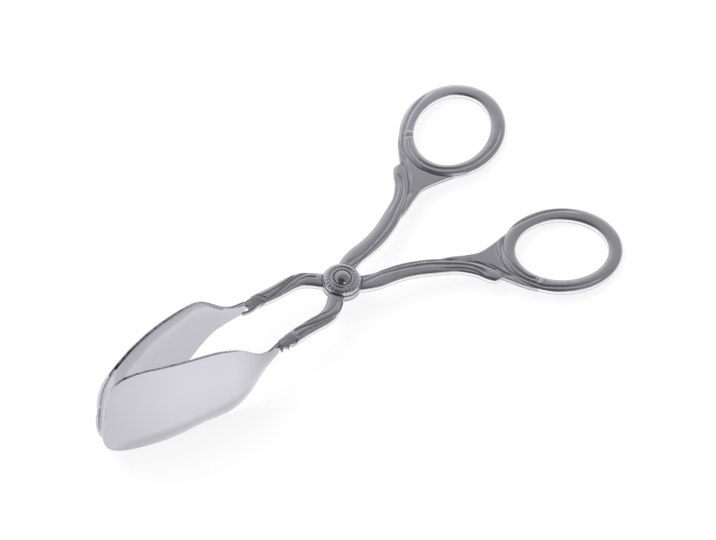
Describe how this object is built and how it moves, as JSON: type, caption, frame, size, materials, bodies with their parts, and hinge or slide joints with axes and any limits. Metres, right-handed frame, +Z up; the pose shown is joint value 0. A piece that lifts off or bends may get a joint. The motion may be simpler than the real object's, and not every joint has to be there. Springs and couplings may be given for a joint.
{
  "type": "serving tongs",
  "caption": "Scissor serving tongs: crossed cast handles with finger rings turn on a rosette-headed screw and close polished scoop blades on the food.",
  "frame": {"origin": "bottom centre of the bounding box, on the table that the rings and the blades stand on", "axes": "+X from the blades to the finger rings, +Y to the ring of the lower lever, +Z up"},
  "size_m": [0.1884, 0.0966, 0.0432],
  "materials": {
    "satin_casting": "satin cast metal, polished dark grey",
    "mirror_blade": "mirror-polished sheet",
    "plain_steel": "plain"
  },
  "bodies": {
    "lower_half": {"lower_lever": "satin_casting", "front_blade": "mirror_blade", "rosette": "satin_casting", "pivot_screw": "satin_casting", "back_washer": "plain_steel", "pivot_nut": "plain_steel"},
    "upper_half": {"upper_lever": "satin_casting", "rear_blade": "mirror_blade"}
  },
  "joints": [
    {"name": "pivot", "type": "hinge", "parent": "lower_half", "child": "upper_half", "pos_m": [0.00441, 0, 0.01383], "axis": [-0.1256, 0, -0.9921], "range_deg": [-1.5, 55]}
  ]
}
